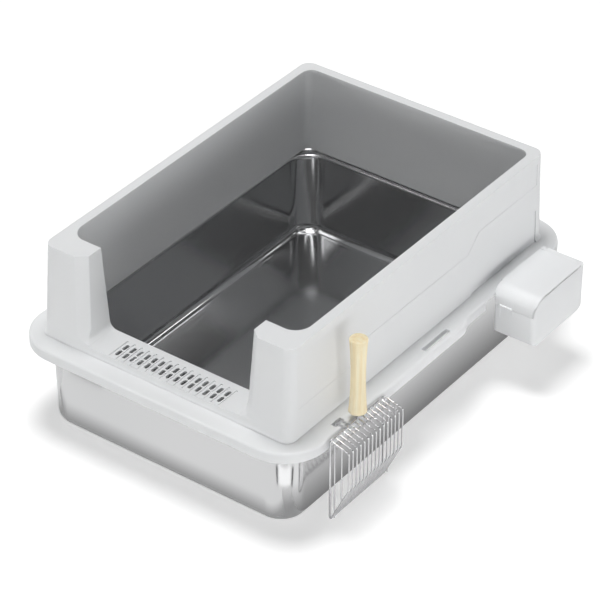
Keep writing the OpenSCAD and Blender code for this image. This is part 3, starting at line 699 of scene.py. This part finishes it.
def stepCuts(s):
    # slots and grooves of the entry step
    half, rows = s["slotLong"] / 2, s["slotRows"]
    below, tall = s["slotCut"]
    slot = addSheet("slotCut", (-s["slotWide"] / 2, s["slotWide"] / 2), (rows[0] - half, rows[0] + half),
                    s["stepZ"] - below)
    roundCorners(slot, s["slotWide"] / 2 - s["slotEase"], 6)
    raiseSheet(slot, tall)
    groove = addBlock("grooveCut", (-s["grooveWide"] / 2, s["grooveWide"] / 2),
                      (sum(rows) / 2 - s["grooveLong"] / 2, sum(rows) / 2 + s["grooveLong"] / 2),
                      (s["stepZ"] - s["grooveDeep"], s["stepZ"] + s["grooveUp"]))
    middle = (s["slotColumns"] - 1) / 2
    cuts = []
    for i in range(s["slotColumns"]):
        for row in rows:
            cuts.append(copyPiece(slot, "slotCopy", ((i - middle) * s["slotPitch"], row - rows[0], 0)))
    for i in range(s["slotColumns"] + 1):
        cuts.append(copyPiece(groove, "grooveCopy", ((i - middle - 0.5) * s["slotPitch"], 0, 0)))
    for model in (slot, groove):
        bpy.data.objects.remove(model, do_unlink=True)
    return joinPieces(cuts)


def makeWall(s):
    piece = wallSolid(s, "highWall", 0, s["baseZ"], s["topZ"], s["corner"])
    combine(piece, wallFoot(s), 'UNION')
    combine(piece, wallRoom(s))
    combine(piece, entryBlock(s))
    combine(piece, entryBevels(s))
    # hollow under the step
    x = s["jambStep"] - s["pocketIn"]
    near, far = s["front"] + s["thick"] + s["pocketFront"], s["front"] + s["pocketDeep"]
    combine(piece, addBlock("pocket", (-x, x), (near, far),
                            (s["tongueZ"] - s["pocketLow"], s["stepZ"] - s["stepThick"])))
    closeEdit(piece, False)
    softenEdges(piece, s["softEdge"], 3, 30)
    tongue = tongueBlock(s, "tongue", s["tongueIn"], s["tongueZ"], s["rimZ"] + s["tongueUp"])
    combine(tongue, tongueBlock(s, "tongueCore", s["thick"], s["tongueZ"] - s["corePast"][0],
                                s["rimZ"] + s["corePast"][1]))
    # raised panels on both sides and the recess beside the bin
    for side in (1, -1):
        combine(piece, leanPlate(s, "relief", s["relief"], side, s["reliefDeep"]))
    combine(piece, leanPlate(s, "recess", s["binRecess"], 1, s["recessDeep"]))
    combine(piece, stepCuts(s))
    joinPieces([piece, tongue])
    closeEdit(piece, False)
    return dress(piece, wallPlastic, "wall", ["high_wall"])


makeWall(wall)
print("wall made")

# waste bin and its lid
binBox = {
    "x": (228.8, 295.0), "y": (136.5, 262.5), "z": (80.0, 154.0), "corner": 8, "foot": 8, "heel": 18,
    "brow": 22, "tail": 6, "wall": 2.2, "lid": 2.2, "lidSeen": 1.0, "gap": 0.4, "lidEdge": 128,
    "plateBack": 250.1, "plateIn": 3, "plateOut": 0.3, "plateDrop": 0.03, "coreWide": 1.4, "coreX": 260,
    "hinge": (256.5, 148.0), "roll": 6, "rollX": (236.8, 287.0), "pin": 1.5, "pinGap": 0.08, "pinEnd": 0.5,
    "tabX": (240.3, 259.3), "tabOut": 3, "tabThick": 2.8, "tabCorner": 2.4, "dimple": 10, "dimpleDeep": 0.8,
    "hookX": (217.9, 220.9), "hookY": (172.35, 226.65), "hookZ": (131.0, 142.7), "hookThick": 3,
    "past": 5, "mouthPast": 2, "mouthUp": 8, "pinPast": 3, "bodySoft": 0.8, "lidSoft": 0.6,
}


def binSolid(s, name, inset):
    # block with the bin's side outline, drawn in by the inset
    front, back = s["y"][0] + inset, s["y"][1] - inset
    low, high = s["z"][0] + inset, s["z"][1] - inset
    piece = addBlock(name, s["x"], (front, back), (low, high))
    for key, y, z in (("foot", front, low), ("heel", back, low), ("brow", front, high), ("tail", back, high)):
        bevelEdges(piece, max(s[key] - inset, 1), lambda a, b: isAcross(a, b) and all(
            abs(p.y - y) < nearby and abs(p.z - z) < nearby for p in (a, b)), 10)
    return piece


def binCore(s, inset):
    # inner block, stretched along X so that it cuts right through
    core = binSolid(s, "core", inset)
    pick(core, 'VERT', anything)
    bpy.ops.transform.resize(value=(s["coreWide"], 1, 1), center_override=(s["coreX"] * mm, 0, 0))
    bpy.ops.object.mode_set(mode='OBJECT')
    return core


def binPlan(s, inset):
    x = (s["x"][0] + inset, s["x"][1] - inset)
    y = (s["y"][0] + inset, s["y"][1] - inset)
    low, high = s["z"][0] - s["past"], s["z"][1] + s["past"]
    return addTaper("plan", (*x, *y, low), (*x, *y, high), s["corner"] - inset, 8)


def lidZone(s, name, gap):
    # the part of the bin that the lid takes up
    past = s["past"]
    return addBlock(name, (s["x"][0] - past, s["x"][1] + past), (s["y"][0] - past, s["plateBack"] + gap),
                    (s["lidEdge"] - gap, s["z"][1] + past))


def makeBin(s):
    (x0, x1), gap, hinge, rollX = s["x"], s["gap"], s["hinge"], s["rollX"]
    piece = combine(binSolid(s, "binBody", 0), binPlan(s, 0), 'INTERSECT')
    combine(piece, combine(lidZone(s, "over", gap), binCore(s, s["lid"] + gap)))
    softenEdges(piece, s["bodySoft"], 2, 40)
    room = binSolid(s, "room", s["wall"])
    combine(room, addBlock("mouth", (x0 - s["mouthPast"], x1 + s["mouthPast"]),
                           (s["y"][0] + s["wall"], s["plateBack"]),
                           (hinge[1], s["z"][1] + s["mouthUp"])), 'UNION')
    combine(piece, combine(room, binPlan(s, s["wall"]), 'INTERSECT'))
    combine(piece, addRod("rollRoom", s["roll"] + gap, (rollX[0] - gap, *hinge), (rollX[1] + gap, *hinge)))
    combine(piece, addRod("pinHole", s["pin"], (x0 - s["pinPast"], *hinge), (x1 - s["pinEnd"], *hinge), 24))
    # dimple under the lid's tab
    radius = (s["dimple"] ** 2 + s["dimpleDeep"] ** 2) / (2 * s["dimpleDeep"])
    middle = (s["y"][0] + s["dimpleDeep"] - radius, s["lidEdge"] - s["dimple"])
    combine(piece, addRod("dimple", radius, (s["tabX"][0], *middle), (s["tabX"][1], *middle), 96))
    combine(piece, addBlock("bridge", (s["hookX"][0], x0 + s["wall"] / 2), s["hookY"],
                            (s["hookZ"][1] - s["hookThick"], s["hookZ"][1])), 'UNION')
    combine(piece, addBlock("hook", s["hookX"], s["hookY"], s["hookZ"]), 'UNION')
    closeEdit(piece, False, 0.001)
    return dress(piece, binPlastic, "bin", ["bin_body"])


def makeLid(s):
    (x0, x1), hinge, rollX, top, front = s["x"], s["hinge"], s["rollX"], s["z"][1], s["y"][0]
    piece = combine(binSolid(s, "binLid", 0), binPlan(s, 0), 'INTERSECT')
    combine(piece, binCore(s, s["lidSeen"]))
    combine(piece, lidZone(s, "keep", 0), 'INTERSECT')
    combine(piece, addBlock("plate", rollX, (s["plateBack"] - s["plateIn"], hinge[0] + s["plateOut"]),
                            (top - s["lid"], top - s["plateDrop"])), 'UNION')
    combine(piece, addRod("roll", s["roll"], (rollX[0], *hinge), (rollX[1], *hinge), 48), 'UNION')
    tab = addSheet("tab", s["tabX"], (front - s["tabOut"], front + s["lid"] / 2), s["lidEdge"])
    roundCorners(tab, s["tabCorner"], 5, lambda p: p.y < front)
    raiseSheet(tab, s["tabThick"])
    combine(piece, tab, 'UNION')
    combine(piece, addRod("bore", s["pin"] + s["pinGap"], (x0 - s["past"], *hinge),
                          (x1 + s["past"], *hinge), 24))
    closeEdit(piece, False)
    softenEdges(piece, s["lidSoft"], 3, 40)
    return dress(piece, binPlastic, "lid", ["bin_lid"])


makeBin(binBox)
makeLid(binBox)
print("bin and lid made")

# scoop
scoop = {
    "x": 239.5, "y": -190.5, "half": 58.5, "top": 138.7, "tip": 12.2, "rimWire": 3, "bend": 4,
    "wire": 2.4, "upright": 2, "pitch": 8.357, "columns": 13,
    "outline": [(241.8, 138.7), (268.8, 131.2), (268.8, 71.2), (241.0, 13.4)],
    "uprights": [(246.5, 18.0, 136.8), (257.5, 47.5, 133.9)], "crossX": 249.5, "crossZ": 134.1,
    "hookTop": 141, "hookLow": 132.5, "hookX": (241.0, 224.45), "hookY": (-208.5, -217), "hookBend": 2.5,
}


def addWire(name, corners, thick, bend=0, sides=12, bendSteps=6):
    # pulls a round section along straight runs and spins it through each bend
    corners = [Vector(corner) * mm for corner in corners]
    runs = [(b - a).normalized() for a, b in zip(corners, corners[1:])]
    cuts = [0.0] + [bend * mm * math.tan(a.angle(b) / 2) for a, b in zip(runs, runs[1:])] + [0.0]
    clearSelection()
    bpy.ops.mesh.primitive_circle_add(
        vertices=sides, radius=thick / 2 * mm, fill_type='NOTHING', location=corners[0],
        rotation=runs[0].to_track_quat('Z', 'Y').to_euler())
    piece = settle(bpy.context.object, name)
    bpy.ops.object.mode_set(mode='EDIT')
    bpy.ops.mesh.select_mode(type='VERT')
    bpy.ops.mesh.select_all(action='SELECT')
    for i, run in enumerate(runs):
        reach = (corners[i + 1] - corners[i]).length - cuts[i] - cuts[i + 1]
        extrude(run * reach)
        if i + 1 < len(runs):
            turnAxis = run.cross(runs[i + 1]).normalized()
            inward = turnAxis.cross(run)
            centre = corners[i + 1] - run * cuts[i + 1] + inward * bend * mm
            bpy.ops.mesh.spin(steps=bendSteps, angle=run.angle(runs[i + 1]), center=centre, axis=-turnAxis)
    closeEdit(piece, merge=0.1)
    # an open wire gets its two end faces
    if (corners[0] - corners[-1]).length > samePoint:
        for tip, run in ((corners[0], runs[0]), (corners[-1], runs[-1])):
            pick(piece, 'EDGE', lambda a, b: all(
                abs((p * mm - tip).dot(run)) < 10 * samePoint and (p * mm - tip).length < thick * mm
                for p in (a, b)))
            bpy.ops.mesh.fill()
            bpy.ops.object.mode_set(mode='OBJECT')
    return closeEdit(piece)


def makeScoop(s):
    x, y, half, top, tip = s["x"], s["y"], s["half"], s["top"], s["tip"]
    frameWire = addWire("scoopRimWire", [(x, y, top), (x, y + half, top), (x, y + half, tip),
                                         (x, y - half, tip), (x, y - half, top), (x, y, top)],
                        s["rimWire"], s["bend"])
    dress(frameWire, wireSteel, "scoop", ["scoop_rim_wire"])
    tine = addWire("basketTine", [(px, 0, pz) for px, pz in s["outline"]], s["wire"], s["bend"])
    for i in range(s["columns"]):
        twin = copyPiece(tine, "basketTine%02d" % (i + 1), (0, y - half + (i + 1) * s["pitch"], 0))
        dress(twin, wireSteel, "scoop", ["scoop_tines"])
    for side, name, node in ((-1, "basketLeftEnd", "scoop_left_end"), (1, "basketRightEnd", "scoop_right_end")):
        end = y + side * half
        parts = [copyPiece(tine, name, (0, end, 0))]
        for px, low, high in s["uprights"]:
            parts.append(addWire("upright", [(px, end, low), (px, end, high)], s["upright"]))
        dress(joinPieces(parts), wireSteel, "scoop", [node])
    bpy.data.objects.remove(tine, do_unlink=True)
    crossX, crossZ = s["crossX"], s["crossZ"]
    cross = addWire("basketCrossWire", [(crossX, y - half, crossZ), (crossX, y + half, crossZ)], s["wire"])
    dress(cross, wireSteel, "scoop", ["scoop_cross_wire"])
    (start, far), (near, last), high, low = s["hookX"], s["hookY"], s["hookTop"], s["hookLow"]
    hook = addWire("scoopHook", [(start, near, high), (far, near, high), (far, near, low),
                                 (far, last, low), (far, last, high), (start, last, high)],
                   s["wire"], s["hookBend"])
    dress(hook, wireSteel, "scoop", ["scoop_hook_wire"])


makeScoop(scoop)
print("scoop wires made")

handle = {
    "low": 150.7, "high": 264.7, "endRadius": 12.2, "waistRadius": 9.9, "waistPower": 0.8, "rings": 18,
    "sides": 48, "edge": 1.6, "edgeSteps": 4, "boreRadius": 2.5, "boreDeep": 60,
}


def handleProfile(s):
    # radius and height of each ring, from the lower end's flat to the upper one's
    edge, inner = s["edge"], s["endRadius"] - s["edge"]
    length = s["high"] - s["low"] - 2 * edge
    turns = [math.pi / 2 * k / s["edgeSteps"] for k in range(s["edgeSteps"] + 1)]
    profile = [(inner + edge * math.sin(a), edge * (1 - math.cos(a))) for a in turns]
    waist = s["endRadius"] - s["waistRadius"]
    for k in range(1, s["rings"]):
        t = k / s["rings"]
        profile.append((s["endRadius"] - waist * math.sin(math.pi * t) ** s["waistPower"], edge + length * t))
    return profile + [(inner + edge * math.cos(a), edge + length + edge * math.sin(a)) for a in turns]


def makeHandle(s):
    clearSelection()
    place = (scoop["x"] * mm, scoop["y"] * mm, s["low"] * mm)
    radius, height = s["boreRadius"], 0
    bpy.ops.mesh.primitive_circle_add(
        vertices=s["sides"], radius=radius * mm, fill_type='NOTHING', location=place)
    piece = settle(bpy.context.object, "scoopHandle")
    bpy.ops.object.mode_set(mode='EDIT')
    bpy.ops.mesh.select_mode(type='VERT')
    bpy.ops.mesh.select_all(action='SELECT')
    for nextRadius, nextHeight in handleProfile(s):
        extrude((0, 0, (nextHeight - height) * mm))
        middle = (place[0], place[1], place[2] + nextHeight * mm)
        bpy.ops.transform.resize(value=(nextRadius / radius, nextRadius / radius, 1), center_override=middle)
        radius, height = nextRadius, nextHeight
    bpy.ops.mesh.select_mode(type='EDGE')
    bpy.ops.mesh.fill()
    # the bore that takes the tang
    axis = Vector((scoop["x"], scoop["y"]))
    pick(piece, 'EDGE', lambda a, b: all(
        p.z < s["low"] + nearby and (p.xy - axis).length < s["boreRadius"] + nearby for p in (a, b)))
    extrude((0, 0, s["boreDeep"] * mm))
    bpy.ops.mesh.fill()
    closeEdit(piece)
    return dress(piece, handleWood, "scoop", ["scoop_handle"])


makeHandle(handle)
for nodeName, finish in (("scoop_tang", wireSteel), ("bin_lid_pin", pinSteel)):
    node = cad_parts[nodeName]
    node.data.materials.clear()
    node.data.materials.append(finish)
print("handle made, pin and tang finished")

# camera
view = {
    "turn": 36.627, "rise": 35.351, "right": 4.426, "up": 91.844, "away": 4163, "middleY": 1.5,
    "lens": 181.26, "sensor": 36, "clipEnd": 50,
}


def placeCamera(s):
    a, e = math.radians(s["turn"]), math.radians(s["rise"])
    back = Vector((math.sin(a) * math.cos(e), -math.cos(a) * math.cos(e), math.sin(e)))
    right = Vector((math.cos(a), math.sin(a), 0))
    up = back.cross(right)
    spot = right * s["right"] + up * s["up"] + back * s["away"] + Vector((0, s["middleY"], 0))
    bpy.ops.object.camera_add(location=spot * mm)
    camera = bpy.context.object
    camera.rotation_euler = Matrix((right, up, back)).transposed().to_euler()
    camera.data.lens = s["lens"]
    camera.data.sensor_width = s["sensor"]
    camera.data.clip_end = s["clipEnd"]
    bpy.context.scene.camera = camera


clearSelection()
placeCamera(view)

# floor, world and lamps, in metres
studio = {
    "floorSize": 14, "floorZ": -0.0004, "floorColour": 0.84, "floorRoughness": 0.9, "floorSpecular": 0.1,
    "floorGlow": 0.42, "shineGlow": 0.2, "skyStrength": 3.0,
    "sky": [(0.0, 1.0), (0.13, 0.9), (0.24, 0.06), (1.0, 0.015)], "aim": (0, 0, 0.1),
    "lamps": [("keyLamp", (-0.3, 0.0, 3.85), 1.5, 98), ("fillLamp", (2.6, -1.2, 0.45), 0.8, 10)],
    # painted highlights for the pan's round inner edges, a painted reflection of grey floor beside the pan that
    # darkens towards the pan as painted shade, and painted dark and bright reflection strips for its corners
    "cards": [
        ("backEdgeCard", [(-2.4, -1.28, 2.67), (2.0, -1.28, 2.67), (-2.4, -1.04, 2.76),
                          (2.0, -1.04, 2.76)], 3.6),
        ("sideEdgeCard", [(0.645, -2.6, 2.44), (0.895, -2.6, 2.34), (0.645, 3.2, 2.44),
                          (0.895, 3.2, 2.34)], 3.6),
        ("sideFloorCard", [(0.198, -0.24, 0.001), (0.40, -0.42, 0.001), (0.198, 0.31, 0.001),
                           (0.40, 0.31, 0.001)], 0.3, ("X", 0.208, 0.285, 1.15)),
        # painted reflection of the floor in front of the pan, darker at the pan's foot as painted shade
        ("frontFloorCard", [(-0.33, -0.46, 0.001), (0.30, -0.46, 0.001), (-0.25, -0.292, 0.001),
                            (0.205, -0.292, 0.001)], 1.02, ("Y", -0.322, -0.300, 0.5)),
        ("cornerCardLeft", [(0.212, -0.366, 0.003), (0.217, -0.364, 0.003), (0.228, -0.436, 0.003),
                            (0.248, -0.430, 0.003)], 0),
        ("cornerCardRight", [(0.268, -0.293, 0.003), (0.270, -0.285, 0.003), (0.336, -0.308, 0.003),
                             (0.342, -0.288, 0.003)], 0),
        ("cornerGlowCard", [(0.226, -0.362, 0.002), (0.276, -0.300, 0.002), (0.262, -0.440, 0.002),
                            (0.342, -0.326, 0.002)], 1.5),
        # painted dark patch in the reflection on the pan's front
        ("frontCard", [(-0.238, -0.398, 0.002), (-0.186, -0.398, 0.002), (-0.238, -0.366, 0.002),
                       (-0.176, -0.366, 0.002)], 0.0, ("Y", -0.388, -0.367, 1.1)),
    ],
}


def makeFloor(s):
    clearSelection()
    bpy.ops.mesh.primitive_plane_add(size=s["floorSize"], location=(0, 0, s["floorZ"]))
    floor = bpy.context.object
    floor.name = "floor"
    look = surfaceLook("floorPaper", (s["floorColour"],) * 3, s["floorRoughness"])
    # the glow lifts what the camera and shiny surfaces see, and lights nothing
    strength = look.glowing(s["floorSpecular"])
    rays = look.node("ShaderNodeLightPath")
    shine = look.node("ShaderNodeMath", operation='MULTIPLY')
    shine.inputs[1].default_value = s["shineGlow"]
    glow = look.node("ShaderNodeMath", operation='MULTIPLY_ADD')
    glow.inputs[1].default_value = s["floorGlow"]
    look.join(rays.outputs["Is Glossy Ray"], shine.inputs[0])
    look.join(rays.outputs["Is Camera Ray"], glow.inputs[0])
    look.join(shine.outputs[0], glow.inputs[2])
    look.join(glow.outputs[0], strength)
    floor.data.materials.append(look.material)


def makeWorld(s):
    # graded sky for the light, plain white for the camera
    world = bpy.data.worlds.new("studio")
    bpy.context.scene.world = world
    world.use_nodes = True
    tree = world.node_tree
    tree.nodes.clear()
    link = tree.links.new
    place, split, ramp, sky, white, rays, mix, out = (tree.nodes.new("ShaderNode" + kind) for kind in (
        "TexCoord", "SeparateXYZ", "ValToRGB", "Background", "Background", "LightPath", "MixShader",
        "OutputWorld"))
    setStops(ramp.color_ramp, [(spot, (value,) * 3) for spot, value in s["sky"]])
    sky.inputs["Strength"].default_value = s["skyStrength"]
    white.inputs["Color"].default_value = (1, 1, 1, 1)
    link(place.outputs["Generated"], split.inputs[0])
    link(split.outputs["Z"], ramp.inputs["Fac"])
    link(ramp.outputs["Color"], sky.inputs["Color"])
    link(rays.outputs["Is Camera Ray"], mix.inputs["Fac"])
    link(sky.outputs[0], mix.inputs[1])
    link(white.outputs[0], mix.inputs[2])
    link(mix.outputs[0], out.inputs["Surface"])


def addLamp(name, spot, size, power):
    clearSelection()
    bpy.ops.object.light_add(type='AREA', location=spot)
    lamp = bpy.context.object
    lamp.name = name
    lamp.data.shape = 'DISK'
    lamp.data.size = size
    lamp.data.energy = power
    lamp.rotation_euler = (Vector(studio["aim"]) - Vector(spot)).to_track_quat('-Z', 'Y').to_euler()


def addCard(name, corners, glow, fade=None):
    # flat card that only shiny surfaces see, painting highlights and dark patches into reflections while
    # lighting nothing; fade is an axis, its start and end, and the glow at the end
    piece = addQuad(name, corners)
    look = surfaceLook(name + "Paper", (0, 0, 0), 1.0)
    strength = look.glowing(0)
    strength.default_value = glow
    if fade:
        axis, start, end, last = fade
        split = look.node("ShaderNodeSeparateXYZ")
        look.join(look.place.outputs["Object"], split.inputs[0])
        look.join(look.spread(split.outputs[axis], glow, last, start, end), strength)
    piece.data.materials.append(look.material)
    for ray in ("camera", "diffuse", "shadow", "transmission", "volume_scatter"):
        setattr(piece, "visible_" + ray, False)


makeFloor(studio)
makeWorld(studio)
for lamp in studio["lamps"]:
    addLamp(*lamp)
for card in studio["cards"]:
    addCard(*card)
bpy.context.scene.view_settings.view_transform = 'Standard'
print("studio ready")
